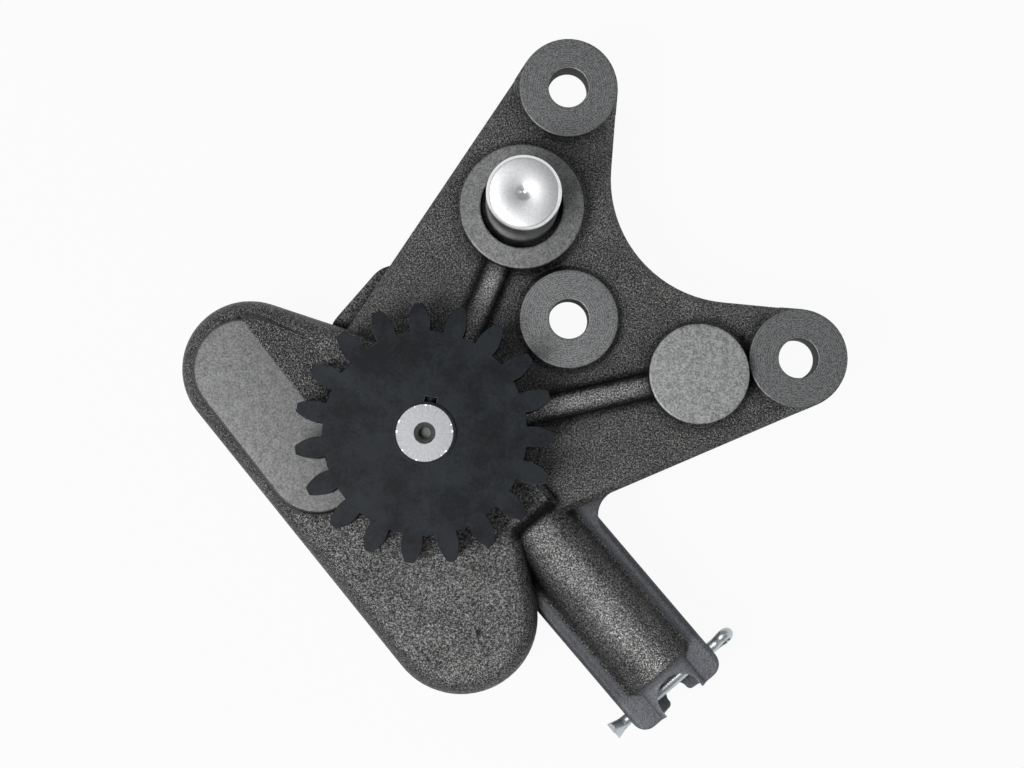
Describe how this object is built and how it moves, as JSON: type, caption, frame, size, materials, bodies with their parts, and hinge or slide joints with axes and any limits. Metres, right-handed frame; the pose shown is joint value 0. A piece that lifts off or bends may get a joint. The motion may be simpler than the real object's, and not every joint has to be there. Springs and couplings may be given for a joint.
{
  "type": "engine oil pump",
  "caption": "Gear-driven engine oil pump with an internal rotor set, a cast iron body on a bolt-on plate, an idler pin and a built-in plunger relief valve.",
  "frame": {"origin": "on the drive shaft's axis, in the plane of the mounting face", "axes": "+Z along the drive shaft, out of the front where the gear is; +X towards the right-hand bolt arm and +Y towards the top bolt arm, seen from the front"},
  "size_m": [0.177, 0.1871, 0.0906],
  "materials": {
    "cast_iron": "as-cast grey iron with a dark speckled skin; ground faces brighter",
    "gear_steel": "black oxide over machined steel, edges rubbed bright",
    "ground_steel": "turned and ground",
    "polished_steel": "hardened and polished",
    "sintered_steel": "sintered, fine grain, oiled",
    "bush_bronze": "sintered bronze, bored",
    "spring_steel": "drawn wire",
    "zinc_steel": "bright zinc plate",
    "dark_fastener": "phosphate and oil"
  },
  "bodies": {
    "body": {"pump_body": "cast_iron", "front_bush": "bush_bronze", "rear_bush": "bush_bronze", "rear_cover": "cast_iron", "cover_screw_1": "dark_fastener", "cover_screw_2": "dark_fastener", "cover_screw_3": "dark_fastener", "cover_screw_4": "dark_fastener", "cover_washer_1": "dark_fastener", "cover_washer_2": "dark_fastener", "cover_washer_3": "dark_fastener", "cover_washer_4": "dark_fastener", "cover_dowel_1": "ground_steel", "cover_dowel_2": "ground_steel", "idler_pin": "polished_steel", "relief_cap": "dark_fastener", "split_pin": "zinc_steel", "relief_spring": "spring_steel"},
    "drive": {"drive_shaft": "ground_steel", "drive_gear": "gear_steel", "gear_key": "gear_steel", "inner_rotor": "sintered_steel", "rotor_pin": "ground_steel"},
    "outer_rotor": {"outer_rotor": "sintered_steel"},
    "plunger": {"relief_plunger": "ground_steel"}
  },
  "joints": [
    {"name": "drive_spin", "type": "hinge", "parent": "body", "child": "drive", "pos_m": [0, 0, 0], "axis": [0, 0, 1], "continuous": true},
    {"name": "outer_rotor_spin", "type": "hinge", "parent": "body", "child": "outer_rotor", "pos_m": [0.00274, 0.00233, 0], "axis": [0, 0, 1], "continuous": true},
    {"name": "relief_slide", "type": "slide", "parent": "body", "child": "plunger", "axis": [0.6481, -0.7615, 0], "range_m": [0, 0.008], "stiffness_N_per_m": 12000, "springref_m": -0.0055, "deforming": ["relief_spring"]}
  ],
  "couplings": [
    {"joint": "outer_rotor_spin", "follows": "drive_spin", "ratio": 0.8}
  ]
}
